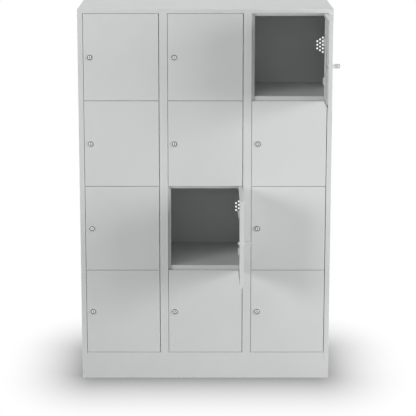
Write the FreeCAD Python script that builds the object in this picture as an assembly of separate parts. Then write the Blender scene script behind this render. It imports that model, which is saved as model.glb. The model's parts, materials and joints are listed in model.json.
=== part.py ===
import FreeCAD, Part
import math
import os

V = FreeCAD.Vector

# Compartment locker of folded sheet steel, in millimetres.
# X runs to the right, Y from the front to the back and Z up, from the floor's centre.

# Overall size and division
body_width = 1200.0
body_depth = 500.0
body_height = 1800.0
column_count = 3
row_count = 4

# Sheet metal
sheet = 1.0
bend_inside = 0.6
fold_clearance = 1.0
cut_overrun = 5.0
match_tolerance = 0.001

# Front frame
top_rail_height = 20.0
base_rail_height = 29.0
side_post_width = 24.0
mid_post_width = 39.0
hinge_return_depth = 40.0
stop_lip_width = 13.5
top_lip_drop = 13.25
rear_flange_width = 8.0

# Plinth
plinth_height = 100.0
plinth_sheet = 1.5
plinth_flange = 25.0
brace_width = 50.0

# Doors
hinge_gap = 2.8
lock_gap = 1.8
edge_gap = 1.6
row_gap = 1.8
door_thickness = 18.0
door_lip = 12.0
hinge_side_depth = 13.0
stop_clearance = 2.5
stiffener_width = 110.0
stiffener_flange = 14.0
stiffener_depth = 14.0

# Shelves, measured from the middle of the gap between two doors
floor_rise = 19.0
shelf_rail_drop = 12.5
shelf_flange = 15.0
shelf_rail_return = 10.0
base_flange = 30.0

# Vent holes in the back, in columns that step away from the hinge side
vent_diameter = 9.5
vent_row_pitch = 17.9
vent_column_pitch = 13.8
vent_wall_distance = 15.0
vent_counts = (5, 4, 3)

# Hinges
pivot_inset = 6.0
hinge_height = 34.0
upper_hinge_drop = 136.5
lower_hinge_rise = 92.5
housing_sheet = 1.5
housing_proud = 1.5
housing_clearance = 2.0
notch_rise = 1.2
eye_radius = 4.0
pin_radius = 2.5
pin_head_radius = 3.5
pin_head_height = 1.5
pin_tail = 1.5
pin_end_play = 0.3
running_clearance = 0.05
arm_sheet = 2.0
arm_height = 22.0
arm_reach = 12.0
arm_foot = 20.0

# Locks
lock_inset = 30.2
collar_radius = 14.0
collar_height = 4.5
collar_round = 0.6
dish_radius = 12.9
dish_depth = 3.6
seat_radius = 8.7
seat_clearance = 0.1
barrel_radius = 9.0
barrel_hole_clearance = 0.25
thread_clearance = 0.05
nut_flats = 24.0
nut_height = 5.0
plug_radius = 6.5
head_radius = 8.2
head_round = 0.5
plug_recess = 0.4
keyway_width = 2.8
keyway_height = 10.5
keyway_depth = 20.0
cam_clearance = 0.7
barrel_cam_gap = 0.4
cam_sheet = 2.0
cam_width = 16.0
cam_length = 30.0
cam_screw_flats = 10.0
cam_screw_height = 3.0

# Keys
key_sheet = 2.6
key_play = 0.1
key_reach = 36.0
bow_length = 27.0
bow_height = 21.0
bow_round = 7.0
bow_hole_radius = 2.8
bow_hole_edge = 7.0
neck_height = 13.0

# Doors that stand open
open_doors = ((0, 2), (2, 1))
open_angle = 90.0

# Layout worked out from the driving sizes
outer_bend = bend_inside + sheet
half_width = body_width / 2
front_y = -body_depth / 2
back_y = body_depth / 2
field_top = body_height - top_rail_height
field_base = plinth_height + base_rail_height
posts_width = 2 * side_post_width + (column_count - 1) * mid_post_width
opening_width = (body_width - posts_width) / column_count
column_pitch = opening_width + mid_post_width
door_width = opening_width - hinge_gap - lock_gap
gaps_height = 2 * edge_gap + (row_count - 1) * row_gap
door_height = (field_top - field_base - gaps_height) / row_count
row_pitch = door_height + row_gap
stop_y = front_y + door_thickness + stop_clearance
lip_back_y = stop_y + sheet
hinge_post_back_y = front_y + hinge_return_depth
rear_y = back_y - 2 * sheet
floor_back_y = rear_y - bend_inside
pivot_y = front_y + pivot_inset

# A door's own frame has its pivot at the origin and its lower edge at height zero
door_right = pivot_inset
door_left = door_right - door_width
door_front = -pivot_inset
door_back = door_front + door_thickness
hinge_levels = (lower_hinge_rise, door_height - upper_hinge_drop)
housing_web_x = -eye_radius - housing_clearance
housing_back = door_back + housing_proud
lock_x = door_left + lock_inset
lock_z = door_height / 2
collar_front = door_front - collar_height
plug_front = collar_front + plug_recess
cam_front = door_back + stop_clearance + sheet + cam_clearance
barrel_back = cam_front - barrel_cam_gap


def opening_left(column):
    return -half_width + side_post_width + column * column_pitch


def opening_right(column):
    return opening_left(column) + opening_width


def partition_x(column):
    """Middle of the partition at the right of a column."""
    return opening_right(column) + mid_post_width / 2


def wall_left(column):
    if column == 0:
        return -half_width + sheet
    return partition_x(column - 1) + sheet / 2


def wall_right(column):
    if column == column_count - 1:
        return half_width - sheet
    return partition_x(column) - sheet / 2


def pivot_x(column):
    return opening_right(column) - hinge_gap - pivot_inset


def door_base(row):
    return field_top - edge_gap - door_height - row * row_pitch


def gap_level(row):
    """Middle of the gap below the doors of a row."""
    gap = edge_gap if row == row_count - 1 else row_gap
    return door_base(row) - gap / 2


def floor_top(row):
    return gap_level(row) + floor_rise


def block(x0, x1, y0, y1, z0, z1):
    return Part.makeBox(x1 - x0, y1 - y0, z1 - z0, V(x0, y0, z0))


def unit(vector):
    result = V(vector)
    result.normalize()
    return result


def strip_side(points, up, thickness, offset):
    """Edges beside a folded middle line, at an offset, with an arc at each fold."""
    middle_radius = bend_inside + thickness / 2
    runs = [unit(end - start) for start, end in zip(points, points[1:])]
    sides = [up.cross(run) for run in runs]
    last = points[0] + sides[0] * offset
    edges = []
    for corner, run, after, side, side_after in zip(points[1:], runs, runs[1:], sides, sides[1:]):
        trim = middle_radius * math.tan(run.getAngle(after) / 2)
        turn = 1 if up.dot(run.cross(after)) > 0 else -1
        start = corner - run * trim
        centre = start + side * (turn * middle_radius)
        outward = unit(corner - centre)
        arc_start = start + side * offset
        arc_middle = centre + outward * (middle_radius - turn * offset)
        arc_end = corner + after * trim + side_after * offset
        edges.append(Part.LineSegment(last, arc_start).toShape())
        edges.append(Part.Arc(arc_start, arc_middle, arc_end).toShape())
        last = arc_end
    edges.append(Part.LineSegment(last, points[-1] + sides[-1] * offset).toShape())
    return edges


def folded(points, up, length, thickness):
    """Sheet of one thickness, folded along a middle line and drawn out along up."""
    left = strip_side(points, up, thickness, thickness / 2)
    right = strip_side(points, up, thickness, -thickness / 2)
    ends = []
    for index in (0, -1):
        ends.append(Part.LineSegment(left[index].Vertexes[index].Point,
                                     right[index].Vertexes[index].Point).toShape())
    outline = Part.Wire(Part.__sortEdges__(left + right + ends))
    return Part.Face(outline).extrude(up * length)


def plan(points, level):
    return [V(x, y, level) for x, y in points]


def prism(points, direction):
    return Part.Face(Part.makePolygon(points + points[:1])).extrude(direction)


def edges_between(shape, axis, low, high):
    """Edges whose whole extent along an axis lies between two places."""
    chosen = []
    for edge in shape.Edges:
        box = edge.BoundBox
        bounds = {"y": (box.YMin, box.YMax), "z": (box.ZMin, box.ZMax)}[axis]
        if bounds[0] > low - match_tolerance and bounds[1] < high + match_tolerance:
            chosen.append(edge)
    return chosen


def upright_edges(shape):
    return [edge for edge in shape.Edges
            if edge.BoundBox.XLength < match_tolerance and edge.BoundBox.YLength < match_tolerance]


# Carcass


def side_panel_left():
    """Wall with a front post and a stop lip for the lock side of the first column."""
    skin = sheet / 2
    wall_x = -half_width + skin
    return_x = opening_left(0) - skin
    points = plan([
        (-half_width + rear_flange_width, rear_y + skin),
        (wall_x, rear_y + skin),
        (wall_x, front_y + skin),
        (return_x, front_y + skin),
        (return_x, stop_y + skin),
        (opening_left(0) + stop_lip_width, stop_y + skin),
    ], plinth_height)
    return folded(points, V(0, 0, 1), field_top - plinth_height, sheet)


def side_panel_right():
    """Wall with a boxed front post that carries the hinges of the last column."""
    skin = sheet / 2
    wall_x = half_width - skin
    return_x = opening_right(column_count - 1) + skin
    points = plan([
        (half_width - rear_flange_width, rear_y + skin),
        (wall_x, rear_y + skin),
        (wall_x, front_y + skin),
        (return_x, front_y + skin),
        (return_x, hinge_post_back_y - skin),
        (half_width - sheet - fold_clearance, hinge_post_back_y - skin),
    ], plinth_height)
    return folded(points, V(0, 0, 1), field_top - plinth_height, sheet)


def front_post(column):
    """Post between two columns, with hinges at its left and a stop lip at its right."""
    skin = sheet / 2
    hinge_x = opening_right(column) + skin
    lock_side_x = opening_left(column + 1) - skin
    points = plan([
        (partition_x(column) - skin, hinge_post_back_y - skin),
        (hinge_x, hinge_post_back_y - skin),
        (hinge_x, front_y + skin),
        (lock_side_x, front_y + skin),
        (lock_side_x, stop_y + skin),
        (opening_left(column + 1) + stop_lip_width, stop_y + skin),
    ], field_base)
    return folded(points, V(0, 0, 1), field_top - field_base, sheet)


def partition(column):
    """Upright sheet between two columns, with a flange along the back panel."""
    x = partition_x(column)
    base = floor_top(row_count - 1)
    skin = sheet / 2
    points = plan([
        (x, lip_back_y),
        (x, rear_y + skin),
        (x + skin + rear_flange_width, rear_y + skin),
    ], base)
    return folded(points, V(0, 0, 1), body_height - sheet - base, sheet)


def top_panel():
    """Cap with flanges all round, a front rail and a stop lip above each opening."""
    cap = block(-half_width, half_width, front_y, back_y, field_top, body_height)
    cap = cap.makeFillet(outer_bend, upright_edges(cap) + edges_between(cap, "z", body_height, body_height))
    inside = block(-half_width + sheet, half_width - sheet, front_y + sheet, back_y - sheet,
                   field_top - cut_overrun, body_height - sheet)
    rail = block(-half_width + sheet, half_width - sheet, front_y + sheet, stop_y, field_top, field_top + sheet)
    lips = [block(opening_left(column) + stop_lip_width, opening_right(column), stop_y, lip_back_y,
                  field_top - top_lip_drop, field_top + sheet) for column in range(column_count)]
    return cap.cut(inside).fuse([rail] + lips).removeSplitter()


def floor_sheet(column, left, right, level):
    """Floor of one compartment, cut round the front posts, with its top at a level."""
    lip_x = opening_left(column) + stop_lip_width
    points = plan([
        (left, lip_back_y),
        (left, floor_back_y),
        (right, floor_back_y),
        (right, hinge_post_back_y),
        (opening_right(column), hinge_post_back_y),
        (opening_right(column), stop_y),
        (lip_x, stop_y),
        (lip_x, lip_back_y),
    ], level)
    return prism(points, V(0, 0, -sheet))


def floor_flanges(left, right, level, height):
    """Flanges below a floor, along its two sides and its back."""
    base = level - height
    return [
        block(left, left + sheet, hinge_post_back_y, floor_back_y, base, level),
        block(right - sheet, right, hinge_post_back_y, floor_back_y, base, level),
        block(left, right, floor_back_y - sheet, floor_back_y, base, level),
    ]


def round_front(shape, level):
    """Bend along the front edge of a floor."""
    front = [edge for edge in edges_between(shape, "z", level, level)
             if edge.BoundBox.YMax < stop_y + match_tolerance and edge.BoundBox.XLength > opening_width / 2]
    return shape.makeFillet(outer_bend, front)


def shelf(row, column):
    """Floor above a row gap, with the front rail that stops the doors at both sides of the gap."""
    level = floor_top(row)
    rail_base = gap_level(row) - shelf_rail_drop
    left = wall_left(column)
    right = wall_right(column)
    rail_left = opening_left(column) + stop_lip_width
    rail_right = opening_right(column)
    rail = block(rail_left, rail_right, stop_y, lip_back_y, rail_base, level)
    return_flange = block(rail_left, rail_right, stop_y, stop_y + shelf_rail_return, rail_base, rail_base + sheet)
    flanges = floor_flanges(left, right, level, shelf_flange)
    tray = floor_sheet(column, left, right, level).fuse([rail, return_flange] + flanges).removeSplitter()
    return round_front(tray, level)


def base_panel():
    """Bottom rail and the floor of the lowest compartments."""
    level = floor_top(row_count - 1)
    skin = sheet / 2
    rail_left = opening_left(0)
    rail_right = opening_right(column_count - 1)
    points = [V(rail_left, y, z) for y, z in (
        (front_y + skin, plinth_height),
        (front_y + skin, field_base - skin),
        (stop_y, field_base - skin),
    )]
    pieces = []
    for column in range(column_count):
        left = wall_left(0) if column == 0 else partition_x(column - 1)
        right = wall_right(column) if column == column_count - 1 else partition_x(column)
        pieces.append(floor_sheet(column, left, right, level))
        pieces.append(block(opening_left(column) + stop_lip_width, opening_right(column), stop_y, lip_back_y,
                            field_base - sheet, level))
    pieces += floor_flanges(wall_left(0), wall_right(column_count - 1), level, base_flange)
    relief = block(rail_left, rail_left + stop_lip_width, stop_y - bend_inside, stop_y,
                   field_base - sheet, field_base)
    rail = folded(points, V(1, 0, 0), rail_right - rail_left, sheet).cut(relief)
    return round_front(rail.fuse(pieces).removeSplitter(), level)


def back_panel():
    """Flat back with a group of vent holes behind each compartment."""
    panel = block(-half_width, half_width, back_y - sheet, back_y, plinth_height, field_top)
    holes = []
    for column in range(column_count):
        edge = half_width if column == column_count - 1 else partition_x(column)
        for row in range(row_count):
            for step, count in enumerate(vent_counts):
                x = edge - vent_wall_distance - step * vent_column_pitch
                for index in range(count):
                    rise = (index - (count - 1) / 2) * vent_row_pitch
                    start = V(x, back_y - sheet - cut_overrun, door_base(row) + lock_z + rise)
                    holes.append(Part.makeCylinder(vent_diameter / 2, sheet + 2 * cut_overrun, start, V(0, 1, 0)))
    return panel.cut(Part.makeCompound(holes))


def plinth_frame():
    """Base ring with flanges folded inward at its top and bottom."""
    ring = block(-half_width, half_width, front_y, back_y, 0, plinth_height)
    ring = ring.makeFillet(outer_bend, upright_edges(ring))
    hollow = block(-half_width + plinth_sheet, half_width - plinth_sheet, front_y + plinth_sheet,
                   back_y - plinth_sheet, plinth_sheet, plinth_height - plinth_sheet)
    window = block(-half_width + plinth_flange, half_width - plinth_flange, front_y + plinth_flange,
                   back_y - plinth_flange, -cut_overrun, plinth_height + cut_overrun)
    return ring.cut([hollow, window])


def plinth_brace():
    """Channel across the middle of the base ring, from front to back."""
    skin = plinth_sheet / 2
    start_y = front_y + plinth_flange
    points = [V(x, start_y, z) for x, z in (
        (brace_width / 2, skin),
        (skin - brace_width / 2, skin),
        (skin - brace_width / 2, plinth_height - skin),
        (brace_width / 2, plinth_height - skin),
    )]
    return folded(points, V(0, 1, 0), body_depth - 2 * plinth_flange, plinth_sheet)


# Doors, in their own frame


def hinge_housing(level):
    """Web and two ears, open at the hinge edge, that hold the pin."""
    low = level - hinge_height / 2
    high = level + hinge_height / 2
    inner_y = door_front + sheet
    web = block(housing_web_x - housing_sheet, housing_web_x, inner_y, housing_back, low, high)
    ears = [block(housing_web_x, door_right - sheet, inner_y, housing_back, base, base + housing_sheet)
            for base in (low, high - housing_sheet)]
    return [web] + ears


def door():
    """Pan with lips on three sides, two housings on the hinge side, and a stiffener down its middle."""
    pan = block(door_left, door_right, door_front, door_back, 0, door_height)
    pan = pan.makeFillet(outer_bend, edges_between(pan, "y", door_front, door_front))
    inner_y = door_front + sheet
    cuts = [
        block(door_left + sheet, door_right - sheet, inner_y, door_back - sheet, sheet, door_height - sheet),
        block(door_left + door_lip, door_right - door_lip, inner_y, door_back + cut_overrun,
              door_lip, door_height - door_lip),
        block(door_right - door_lip, door_right + cut_overrun, door_front + hinge_side_depth,
              door_back + cut_overrun, -cut_overrun, door_height + cut_overrun),
        Part.makeCylinder(barrel_radius + barrel_hole_clearance, door_thickness,
                          V(lock_x, door_front - cut_overrun, lock_z), V(0, 1, 0)),
    ]
    housings = []
    bores = []
    for level in hinge_levels:
        low = level - hinge_height / 2
        cuts.append(block(door_right - door_lip - sheet, door_right + cut_overrun, inner_y + notch_rise,
                          door_back + cut_overrun, low + housing_sheet, low + hinge_height - housing_sheet))
        housings += hinge_housing(level)
        bores.append(Part.makeCylinder(pin_radius + running_clearance, hinge_height + 2 * cut_overrun,
                                       V(0, 0, low - cut_overrun)))
    pan = pan.cut(cuts).fuse(housings).cut(bores).removeSplitter()
    return [pan, stiffener()]


def stiffener():
    """Hat profile down the middle of the pan, on the inside of its front."""
    skin = sheet / 2
    middle = (door_left + door_right) / 2
    foot_y = door_front + sheet + skin
    crown_y = foot_y + stiffener_depth - sheet
    side = stiffener_width / 2
    points = plan([
        (middle - side - stiffener_flange, foot_y),
        (middle - side, foot_y),
        (middle - side, crown_y),
        (middle + side, crown_y),
        (middle + side, foot_y),
        (middle + side + stiffener_flange, foot_y),
    ], door_lip)
    return folded(points, V(0, 0, 1), door_height - 2 * door_lip, sheet)


# Hinge parts that stay with the carcass, in the door's frame


def hinge_arm(level):
    """Cranked arm from the post to the pivot, rolled into an eye round the pin."""
    foot_x = door_right + hinge_gap - arm_sheet / 2
    low = level - arm_height / 2
    points = plan([(0, 0), (0, arm_reach), (foot_x, arm_reach), (foot_x, arm_reach + arm_foot)], low)
    arm = folded(points, V(0, 0, 1), arm_height, arm_sheet)
    eye = Part.makeCylinder(eye_radius, arm_height, V(0, 0, low))
    bore = Part.makeCylinder(pin_radius + running_clearance, arm_height + 2 * cut_overrun,
                             V(0, 0, low - cut_overrun))
    return arm.fuse(eye).cut(bore).removeSplitter()


def hinge_pin(level):
    """Headed pin through both ears of a housing and the eye of its arm."""
    low = level - hinge_height / 2 - pin_tail
    head_base = level + hinge_height / 2 + pin_end_play
    shank = Part.makeCylinder(pin_radius, head_base - low, V(0, 0, low))
    head = Part.makeCylinder(pin_head_radius, pin_head_height, V(0, 0, head_base))
    return shank.fuse(head).removeSplitter()


# Locks and keys, in the door's frame


def along_lock(radius, start, end):
    return Part.makeCylinder(radius, end - start, V(lock_x, start, lock_z), V(0, 1, 0))


def hexagon(flats, start, height):
    corner = flats / math.sqrt(3)
    points = [V(lock_x + corner * math.cos(turn), start, lock_z + corner * math.sin(turn))
              for turn in (index * math.pi / 3 for index in range(6))]
    return prism(points, V(0, height, 0))


def lock_barrel():
    """Barrel with a dished collar on the door's face, and the nut behind the door."""
    collar = along_lock(collar_radius, collar_front, door_front)
    collar = collar.makeFillet(collar_round, edges_between(collar, "y", collar_front, collar_front))
    body = along_lock(barrel_radius, door_front, barrel_back)
    dish = Part.makeCone(dish_radius, seat_radius, dish_depth, V(lock_x, collar_front, lock_z), V(0, 1, 0))
    bore = along_lock(plug_radius + running_clearance, collar_front - cut_overrun, barrel_back + cut_overrun)
    nut_start = door_front + sheet
    thread = along_lock(barrel_radius + thread_clearance, door_front, nut_start + nut_height + cut_overrun)
    nut = hexagon(nut_flats, nut_start, nut_height).cut(thread)
    return [collar.fuse(body).cut([dish, bore]).removeSplitter(), nut]


def lock_core():
    """Plug with a keyway in its head, the cam at its back and the screw that holds the cam."""
    slot = block(lock_x - keyway_width / 2, lock_x + keyway_width / 2, plug_front - cut_overrun,
                 plug_front + keyway_depth, lock_z - keyway_height / 2, lock_z + keyway_height / 2)
    head = along_lock(head_radius, plug_front, collar_front + dish_depth - seat_clearance)
    head = head.makeFillet(head_round, edges_between(head, "y", plug_front, plug_front))
    plug = along_lock(plug_radius, plug_front, cam_front).fuse(head).cut(slot).removeSplitter()
    cam_back = cam_front + cam_sheet
    tip = along_lock(cam_width / 2, cam_front, cam_back)
    tip.translate(V(cam_length - cam_width / 2, 0, 0))
    blade = block(lock_x, lock_x + cam_length - cam_width / 2, cam_front, cam_back,
                  lock_z - cam_width / 2, lock_z + cam_width / 2)
    cam = along_lock(cam_width / 2, cam_front, cam_back).fuse([blade, tip]).removeSplitter()
    return [plug, cam, hexagon(cam_screw_flats, cam_back, cam_screw_height)]


def key():
    """Flat key with a rounded bow, its blade in the keyway."""
    left = lock_x - key_sheet / 2
    right = lock_x + key_sheet / 2
    bow_start = door_front - key_reach
    blade_height = keyway_height - 2 * key_play
    bow = block(left, right, bow_start, bow_start + bow_length, lock_z - bow_height / 2, lock_z + bow_height / 2)
    bow = bow.makeFillet(bow_round, [edge for edge in bow.Edges if edge.BoundBox.XLength > key_sheet / 2])
    neck = block(left, right, bow_start + bow_length / 2, collar_front - key_play,
                 lock_z - neck_height / 2, lock_z + neck_height / 2)
    blade = block(left, right, bow_start + bow_length / 2, plug_front + keyway_depth - key_play,
                  lock_z - blade_height / 2, lock_z + blade_height / 2)
    hole = Part.makeCylinder(bow_hole_radius, 2 * key_sheet,
                             V(left - key_sheet / 2, bow_start + bow_hole_edge, lock_z), V(1, 0, 0))
    return bow.fuse([neck, blade]).cut(hole).removeSplitter()


def place(shape, row, column, angle):
    """Copy of a piece from the door's frame, at its place in the locker."""
    placed = shape.copy()
    placed.rotate(V(0, 0, 0), V(0, 0, 1), angle)
    placed.translate(V(pivot_x(column), pivot_y, door_base(row)))
    return placed


def export(name, solids):
    shape = solids[0] if len(solids) == 1 else Part.makeCompound(solids)
    shape.exportStep("parts/" + name + ".step")


def export_carcass():
    export("side_panel_left", [side_panel_left()])
    export("side_panel_right", [side_panel_right()])
    export("top_panel", [top_panel()])
    export("base_panel", [base_panel()])
    export("back_panel", [back_panel()])
    export("plinth_frame", [plinth_frame()])
    export("plinth_brace", [plinth_brace()])
    for column in range(column_count - 1):
        export("front_post_{}".format(column + 1), [front_post(column)])
        export("partition_{}".format(column + 1), [partition(column)])
    for row in range(row_count - 1):
        for column in range(column_count):
            export("shelf_r{}c{}".format(row + 1, column + 1), [shelf(row, column)])


def export_doors():
    door_solids = door()
    barrel_solids = lock_barrel()
    core_solids = lock_core()
    key_solid = key()
    arm_solids = [hinge_arm(level) for level in hinge_levels]
    pin_solids = [hinge_pin(level) for level in hinge_levels]
    arms = []
    pins = []
    for row in range(row_count):
        for column in range(column_count):
            is_open = (row, column) in open_doors
            angle = open_angle if is_open else 0
            tag = "r{}c{}".format(row + 1, column + 1)
            export("door_" + tag, [place(solid, row, column, angle) for solid in door_solids])
            export("lock_barrel_" + tag, [place(solid, row, column, angle) for solid in barrel_solids])
            export("lock_core_" + tag, [place(solid, row, column, angle) for solid in core_solids])
            if is_open:
                export("key_" + tag, [place(key_solid, row, column, angle)])
            arms += [place(solid, row, column, 0) for solid in arm_solids]
            pins += [place(solid, row, column, 0) for solid in pin_solids]
    export("hinge_arms", arms)
    export("hinge_pins", pins)


os.makedirs("parts", exist_ok=True)
export_carcass()
export_doors()
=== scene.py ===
import json
import math

import bpy
from mathutils import Color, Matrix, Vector


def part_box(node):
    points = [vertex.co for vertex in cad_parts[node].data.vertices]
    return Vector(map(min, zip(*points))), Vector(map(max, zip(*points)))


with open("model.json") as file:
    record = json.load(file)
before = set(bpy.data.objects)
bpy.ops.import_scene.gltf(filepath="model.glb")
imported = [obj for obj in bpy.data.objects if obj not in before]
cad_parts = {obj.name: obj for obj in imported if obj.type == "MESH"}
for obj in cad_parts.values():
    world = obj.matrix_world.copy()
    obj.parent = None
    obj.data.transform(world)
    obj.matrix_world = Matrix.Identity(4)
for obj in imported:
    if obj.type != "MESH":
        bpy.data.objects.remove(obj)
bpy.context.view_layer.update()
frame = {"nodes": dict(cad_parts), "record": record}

FULL_CHANNEL = 255


def srgb(red, green, blue):
    """Linear colour with full alpha from 8-bit display values."""
    display = Color((red / FULL_CHANNEL, green / FULL_CHANNEL, blue / FULL_CHANNEL))
    return (*display.from_srgb_to_scene_linear(), 1.0)


# Places taken from the frame, in metres
plinth_low, plinth_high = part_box("plinth_frame")
cap_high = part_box("top_panel")[1]
plug_low, plug_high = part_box("lock_core_r1c1")
FRONT_Y = plinth_low.y
HALF_WIDTH = plinth_high.x
HALF_DEPTH = plinth_high.y
FRONT_MIDDLE = Vector((0, FRONT_Y, cap_high.z / 2))

# Plug of an empty lock: its round head fills the box's height, and its cam lengthens the box towards +X
PLUG_SIZE = plug_high - plug_low
HEAD_RADIUS = PLUG_SIZE.z / 2

# Camera: the photograph's frame, and the camera's place before the front
IMAGE_WIDTH_PX = 416
FOCAL_PX = 1710.0
SENSOR_WIDTH_MM = 36.0
SHIFT_X = 0.0062
CAMERA_DISTANCE = 8.0
CAMERA_HEIGHT = 2.589
CAMERA_PITCH = math.radians(12.269)

# Light: an even surround that shows as white, and square softboxes aimed at the middle of the front
WHITE = (1.0, 1.0, 1.0, 1.0)
SHOWN_STRENGTH = 1.0
WORLD_STRENGTH = 0.34
SOFTBOXES = {
    "left_softbox": {"place": (-5.8, -5.7, 2.8), "watts": 268.0, "size": 2.4},
    "right_softbox": {"place": (4.6, -2.15, 1.8), "watts": 208.0, "size": 2.0},
    "top_softbox": {"place": (0.0, 1.2, 4.2), "watts": 27.0, "size": 2.0},
    "high_softbox": {"place": (-1.0, -4.5, 6.0), "watts": 58.0, "size": 3.0},
    "rear_softbox": {"place": (-0.6, 4.8, 0.95), "watts": 150.0, "size": 1.6},
}

# Floor: pale in the light that it throws back, and shown with a painted soft shadow, a darker tone near the
# footprint that fades out
FLOOR_HALF_SIZE = 40.0
FLOOR_PALE = (0.45, 0.45, 0.45, 1.0)
FLOOR_PAINTED_SHADOW = (0.17, 0.17, 0.17, 1.0)
SHADOW_INSET = 0.07
SHADOW_REACH_FRONT = 0.68
SHADOW_REACH_SIDE = 0.42
SHADOW_FALLOFF = 1.7

# Edges: cosines of the turn at which the edge mask begins and is full
EDGE_SAMPLES = 4
EDGE_TURN = (0.999, 0.90)

# Powder coat: tones, noise patterns, the bands of noise that show, and the strength of each effect
PAINT_TONE = srgb(202, 204, 203)
PAINT_DARK_TONE = srgb(198, 200, 199)
PAINT_EDGE_TONE = srgb(213, 215, 214)
PAINT_DRIFT = {"scale": 2.3, "detail": 3.0}
PAINT_DRIFT_BAND = (0.3, 0.7)
PAINT_MARKS = {"scale": 34.0, "detail": 5.0, "roughness": 0.62}
PAINT_MARKS_BAND = (0.3, 0.72)
PAINT_ROUGHNESS = (0.38, 0.50)
PAINT_SPECULAR = 0.42
PAINT_PEEL = {"scale": 620.0, "detail": 2.0}
PAINT_GRAIN = {"scale": 2600.0, "detail": 1.0}
PAINT_GRAIN_HEIGHT = 0.35
PAINT_BUMP = {"Strength": 0.22, "Distance": 0.00012}
PAINT_EDGE_RADIUS = 0.0014
PAINT_EDGE_WEAR = 0.55
PAINT_EDGE_POLISH = 0.08

# Plated metals: what they share, then each metal's tone, scuffed tone, roughness and scale of grain
SCUFFS = {"scale": 90.0, "detail": 4.0}
SCUFFS_BAND = (0.35, 0.7)
METAL_GRAIN_DETAIL = 3.0
METAL_GRAIN_BAND = (0.3, 0.7)
METAL_BUMP = {"Strength": 0.15, "Distance": 0.00005}
METAL_EDGE_RADIUS = 0.0006
METAL_EDGE_POLISH = 0.06
COLLAR_NICKEL = {
    "tone": srgb(206, 206, 203),
    "scuffed": srgb(194, 194, 191),
    "roughness": (0.30, 0.42),
    "grain_scale": 1500.0,
}
PLUG_NICKEL = {
    "tone": srgb(238, 238, 236),
    "scuffed": srgb(226, 226, 224),
    "roughness": (0.22, 0.34),
    "grain_scale": 1500.0,
}
KEY_NICKEL = {
    "tone": srgb(200, 201, 200),
    "scuffed": srgb(186, 187, 186),
    "roughness": (0.26, 0.40),
    "grain_scale": 900.0,
}
ZINC = {
    "tone": srgb(186, 189, 192),
    "scuffed": srgb(168, 171, 175),
    "roughness": (0.34, 0.50),
    "grain_scale": 400.0,
}

# Dish of a lock's collar: the part of its normal along the lock's axis, and the painted shade that darkens
# the recess
DISH_SLANT = 0.759
DISH_SLANT_MARGIN = 0.05
DISH_PAINTED_SHADE = srgb(128, 128, 127)
DISH_METALLIC = 0.1

# Keyway of an empty lock: how far behind the plug's face its painted-shade inside begins and ends, the size
# of the painted shade at its mouth, and the painted shade's colour
KEYWAY_START = 0.0006
KEYWAY_END = 0.0205
KEYWAY_MOUTH_WIDTH = 0.0042
KEYWAY_MOUTH_HEIGHT = 0.0105
KEYWAY_PAINTED_SHADE = srgb(34, 34, 34)

# Cam and cam screw at a plug's back: their length along the lock's axis
CAM_STACK = 0.0052
CAM_COLOUR = srgb(150, 152, 154)


class Shader:
    """The node tree of a material or world, with short calls to add and join its nodes."""

    def __init__(self, owner, output_kind="ShaderNodeOutputMaterial"):
        self.owner = owner
        owner.use_nodes = True
        self.tree = owner.node_tree
        self.tree.nodes.clear()
        self.output = self.add(output_kind)

    def add(self, kind, settings=None, **inputs):
        """New node; an underscore in an input's name stands for a space."""
        node = self.tree.nodes.new(kind)
        for key, value in (settings or {}).items():
            setattr(node, key, value)
        for key, value in inputs.items():
            self.put(node.inputs[key.replace("_", " ")], value)
        return node

    def put(self, socket, value):
        """Links another node's output to a socket, or sets a plain value on it."""
        if isinstance(value, bpy.types.NodeSocket):
            self.tree.links.new(value, socket)
        else:
            socket.default_value = value

    def maths(self, operation, first, second=0.0, clamp=False):
        node = self.add("ShaderNodeMath", {"operation": operation, "use_clamp": clamp})
        self.put(node.inputs[0], first)
        self.put(node.inputs[1], second)
        return node.outputs[0]

    def split(self, vector):
        """The X, Y and Z outputs of a vector."""
        return self.add("ShaderNodeSeparateXYZ", Vector=vector).outputs

    def noise(self, place, scale, detail, roughness=0.5):
        node = self.add("ShaderNodeTexNoise", Vector=place, Scale=scale, Detail=detail, Roughness=roughness)
        return node.outputs["Fac"]

    def remap(self, value, low, high, to_low=0.0, to_high=1.0):
        node = self.add("ShaderNodeMapRange", {"clamp": True}, Value=value, From_Min=low, From_Max=high,
                        To_Min=to_low, To_Max=to_high)
        return node.outputs["Result"]

    def blend(self, factor, first, second):
        """Mix of two colours; the node's other sockets of these names are for numbers and vectors."""
        node = self.add("ShaderNodeMix", {"data_type": "RGBA"}, Factor=factor)
        colours = [socket for socket in node.inputs if socket.type == "RGBA"]
        self.put(colours[0], first)
        self.put(colours[1], second)
        return [socket for socket in node.outputs if socket.type == "RGBA"][0]

    def mix_shaders(self, factor, first, second):
        node = self.add("ShaderNodeMixShader", Fac=factor)
        self.put(node.inputs[1], first)
        self.put(node.inputs[2], second)
        return node.outputs["Shader"]

    def edge_mask(self, radius):
        """One along convex and concave edges, zero on flat faces."""
        bevel = self.add("ShaderNodeBevel", {"samples": EDGE_SAMPLES}, Radius=radius)
        geometry = self.add("ShaderNodeNewGeometry")
        turn = self.add("ShaderNodeVectorMath", {"operation": "DOT_PRODUCT"})
        self.put(turn.inputs[0], bevel.outputs["Normal"])
        self.put(turn.inputs[1], geometry.outputs["Normal"])
        return self.remap(turn.outputs["Value"], *EDGE_TURN)

    def background_rays(self):
        """One for rays that show the background itself: camera, glossy and transmission rays."""
        path = self.add("ShaderNodeLightPath").outputs
        shown = self.maths("MAXIMUM", path["Is Camera Ray"], path["Is Glossy Ray"])
        return self.maths("MAXIMUM", shown, path["Is Transmission Ray"])

    def finish(self, surface):
        self.put(self.output.inputs["Surface"], surface)
        return self.owner


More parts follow.
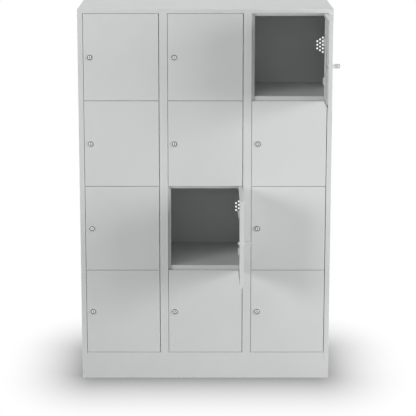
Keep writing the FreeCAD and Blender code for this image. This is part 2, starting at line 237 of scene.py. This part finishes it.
def powder_coat(name):
    """Satin powder coat: faint orange peel, tonal drift, handling marks and worn edges."""
    shader = Shader(bpy.data.materials.new(name))
    place = shader.add("ShaderNodeTexCoord").outputs["Object"]
    edges = shader.edge_mask(PAINT_EDGE_RADIUS)
    drift = shader.remap(shader.noise(place, **PAINT_DRIFT), *PAINT_DRIFT_BAND)
    toned = shader.blend(drift, PAINT_DARK_TONE, PAINT_TONE)
    worn = shader.blend(shader.maths("MULTIPLY", edges, PAINT_EDGE_WEAR), toned, PAINT_EDGE_TONE)
    marks = shader.noise(place, **PAINT_MARKS)
    satin = shader.remap(marks, *PAINT_MARKS_BAND, *PAINT_ROUGHNESS)
    rough = shader.maths("SUBTRACT", satin, shader.maths("MULTIPLY", edges, PAINT_EDGE_POLISH))
    peel = shader.noise(place, **PAINT_PEEL)
    grain = shader.noise(place, **PAINT_GRAIN)
    height = shader.maths("ADD", peel, shader.maths("MULTIPLY", grain, PAINT_GRAIN_HEIGHT))
    bump = shader.add("ShaderNodeBump", Height=height, **PAINT_BUMP)
    paint = shader.add("ShaderNodeBsdfPrincipled", Base_Color=worn, Roughness=rough,
                       Specular_IOR_Level=PAINT_SPECULAR, Normal=bump.outputs["Normal"])
    return shader.finish(paint.outputs["BSDF"])


def plated_metal(name, tone, scuffed, roughness, grain_scale, details=None):
    """Plated metal with fine grain, small scuffs, smoother edges and what details adds to its colour."""
    shader = Shader(bpy.data.materials.new(name))
    coordinates = shader.add("ShaderNodeTexCoord").outputs
    edges = shader.edge_mask(METAL_EDGE_RADIUS)
    scuffs = shader.remap(shader.noise(coordinates["Object"], **SCUFFS), *SCUFFS_BAND)
    colour = shader.blend(scuffs, tone, scuffed)
    metallic = 1.0
    if details:
        colour, metallic = details(shader, coordinates, colour)
    grain = shader.noise(coordinates["Object"], grain_scale, METAL_GRAIN_DETAIL)
    rough = shader.remap(grain, *METAL_GRAIN_BAND, *roughness)
    polished = shader.maths("SUBTRACT", rough, shader.maths("MULTIPLY", edges, METAL_EDGE_POLISH))
    bump = shader.add("ShaderNodeBump", Height=grain, **METAL_BUMP)
    metal = shader.add("ShaderNodeBsdfPrincipled", Metallic=metallic, Base_Color=colour, Roughness=polished,
                       Normal=bump.outputs["Normal"])
    return shader.finish(metal.outputs["BSDF"])


def collar_painted_dish_shade(axis):
    """Painted shade darkening the dish in a collar, which is also duller, told by the slant of its normal to
    the lock's axis.
    """
    def details(shader, coordinates, colour):
        along = shader.maths("ABSOLUTE", shader.split(coordinates["Normal"])[axis])
        off = shader.maths("ABSOLUTE", shader.maths("SUBTRACT", along, DISH_SLANT))
        outside = shader.remap(off, DISH_SLANT_MARGIN, 2 * DISH_SLANT_MARGIN)
        metallic = shader.remap(outside, 0.0, 1.0, DISH_METALLIC, 1.0)
        # Painted shade: the dish's colour is darkened where the recess falls in shade
        return shader.blend(outside, DISH_PAINTED_SHADE, colour), metallic
    return details


def keyway_shade_mask(shader, coordinates):
    """One on the keyway's mouth, where shade is painted, and behind the face where only the keyway's inside
    can be seen, painted dark as shade.
    """
    depth = shader.split(coordinates["Object"])["Y"]
    shares = shader.split(coordinates["Generated"])
    mouth_sizes = (("X", PLUG_SIZE.x, KEYWAY_MOUTH_WIDTH), ("Z", PLUG_SIZE.z, KEYWAY_MOUTH_HEIGHT))
    mouth_sides = []
    for axis, length, opening in mouth_sizes:
        off = shader.maths("ABSOLUTE", shader.maths("SUBTRACT", shares[axis], HEAD_RADIUS / length))
        mouth_sides.append(shader.maths("LESS_THAN", off, opening / 2 / length))
    mouth = shader.maths("MULTIPLY", *mouth_sides)
    inside = shader.maths("GREATER_THAN", depth, plug_low.y + KEYWAY_START)
    front = shader.maths("LESS_THAN", depth, plug_low.y + KEYWAY_END)
    return shader.maths("MULTIPLY", front, shader.maths("MAXIMUM", inside, mouth))


def plug_details(keyed):
    """Zinc-plated cam and screw behind a plug, at low X on a keyed one, and painted shade in the keyway where
    no key is.
    """
    def details(shader, coordinates, colour):
        shares = shader.split(coordinates["Generated"])
        cam_share = CAM_STACK / PLUG_SIZE.y
        if keyed:
            cam = shader.maths("LESS_THAN", shares["X"], cam_share)
            return shader.blend(cam, colour, CAM_COLOUR), 1.0
        cam = shader.maths("GREATER_THAN", shares["Y"], 1 - cam_share)
        # Painted shade: the keyway's inside and a patch at its mouth, wider than the slot, are coloured dark
        keyway_shade = keyway_shade_mask(shader, coordinates)
        toned = shader.blend(cam, colour, CAM_COLOUR)
        return shader.blend(keyway_shade, toned, KEYWAY_PAINTED_SHADE), shader.maths("SUBTRACT", 1.0, keyway_shade)
    return details


def dress_nodes():
    """Gives each CAD node its finish. Locks with a key are on the open doors, with their axes along X."""
    paint = powder_coat("powder_coat_grey")
    collar = plated_metal("collar_nickel", **COLLAR_NICKEL, details=collar_painted_dish_shade("Y"))
    open_collar = plated_metal("open_collar_nickel", **COLLAR_NICKEL, details=collar_painted_dish_shade("X"))
    plug = plated_metal("plug_nickel", **PLUG_NICKEL, details=plug_details(keyed=False))
    keyed_plug = plated_metal("keyed_plug_nickel", **PLUG_NICKEL, details=plug_details(keyed=True))
    key = plated_metal("key_nickel", **KEY_NICKEL)
    zinc = plated_metal("zinc_plate", **ZINC)
    # The first of these starts that fits a node's name gives its finish
    finishes = [("lock_barrel", collar), ("lock_core", plug), ("key", key), ("hinge", zinc), ("", paint)]
    nodes = [part["node"] for part in frame["record"]["subparts"]]
    for node in nodes:
        if node.startswith("key"):
            finishes.insert(0, (node.replace("key", "lock_barrel"), open_collar))
            finishes.insert(0, (node.replace("key", "lock_core"), keyed_plug))
    for node in nodes:
        mesh = frame["nodes"][node].data
        mesh.materials.clear()
        mesh.materials.append(next(finish for start, finish in finishes if node.startswith(start)))


def floor_material():
    """Pale floor with a painted shadow, a darker tone seen near the footprint, that is white further out."""
    shader = Shader(bpy.data.materials.new("floor_white"))
    place = shader.split(shader.add("ShaderNodeTexCoord").outputs["Object"])
    sides = (("X", HALF_WIDTH, SHADOW_REACH_SIDE), ("Y", HALF_DEPTH, SHADOW_REACH_FRONT))
    squares = []
    for axis, half, reach in sides:
        beyond = shader.maths("SUBTRACT", shader.maths("ABSOLUTE", place[axis]), half - SHADOW_INSET)
        share = shader.maths("DIVIDE", shader.maths("MAXIMUM", beyond, 0.0), reach + SHADOW_INSET)
        squares.append(shader.maths("MULTIPLY", share, share))
    distance = shader.maths("SQRT", shader.maths("ADD", *squares))
    near = shader.maths("POWER", shader.maths("SUBTRACT", 1.0, distance, clamp=True), SHADOW_FALLOFF)
    shown = shader.background_rays()
    # Painted shadow: camera and glossy rays see a darker floor tone near the footprint, and less of the white
    # glow
    tone = shader.blend(shader.maths("MULTIPLY", near, shown), FLOOR_PALE, FLOOR_PAINTED_SHADOW)
    matte = shader.add("ShaderNodeBsdfDiffuse", Color=tone)
    glow = shader.add("ShaderNodeEmission", Color=WHITE, Strength=SHOWN_STRENGTH)
    whiteness = shader.maths("MULTIPLY", shader.maths("SUBTRACT", 1.0, near), shown)
    return shader.finish(shader.mix_shaders(whiteness, matte.outputs["BSDF"], glow.outputs["Emission"]))


def make_floor():
    """Square floor, centred under the object."""
    half = FLOOR_HALF_SIZE
    corners = [(-half, -half, 0), (half, -half, 0), (half, half, 0), (-half, half, 0)]
    mesh = bpy.data.meshes.new("studio_floor")
    mesh.from_pydata(corners, [], [(0, 1, 2, 3)])
    floor = bpy.data.objects.new("studio_floor", mesh)
    bpy.context.scene.collection.objects.link(floor)
    mesh.materials.append(floor_material())


def make_world():
    """Even white surround, plain white where it is seen."""
    shader = Shader(bpy.data.worlds.new("studio_world"), "ShaderNodeOutputWorld")
    light = shader.add("ShaderNodeBackground", Color=WHITE, Strength=WORLD_STRENGTH)
    backdrop = shader.add("ShaderNodeBackground", Color=WHITE, Strength=SHOWN_STRENGTH)
    shown = shader.background_rays()
    mix = shader.mix_shaders(shown, light.outputs["Background"], backdrop.outputs["Background"])
    bpy.context.scene.world = shader.finish(mix)


def make_softbox(name, place, watts, size):
    """Square lamp that faces the middle of the object's front."""
    lamp = bpy.data.lights.new(name, "AREA")
    lamp.shape = "SQUARE"
    lamp.size = size
    lamp.energy = watts
    holder = bpy.data.objects.new(name, lamp)
    bpy.context.scene.collection.objects.link(holder)
    holder.location = place
    direction = FRONT_MIDDLE - holder.location
    holder.rotation_euler = direction.to_track_quat("-Z", "Y").to_euler()


def make_camera():
    """Camera before the front, tilted down, with the photograph's focal length."""
    data = bpy.data.cameras.new("camera")
    data.sensor_width = SENSOR_WIDTH_MM
    data.lens = SENSOR_WIDTH_MM * FOCAL_PX / IMAGE_WIDTH_PX
    data.shift_x = SHIFT_X
    camera = bpy.data.objects.new("camera", data)
    bpy.context.scene.collection.objects.link(camera)
    camera.location = (0, FRONT_Y - CAMERA_DISTANCE, CAMERA_HEIGHT)
    camera.rotation_euler = (math.pi / 2 - CAMERA_PITCH, 0, 0)
    bpy.context.scene.camera = camera


dress_nodes()
make_floor()
make_world()
for softbox_name, softbox in SOFTBOXES.items():
    make_softbox(softbox_name, **softbox)
make_camera()
bpy.context.scene.view_settings.view_transform = "Standard"
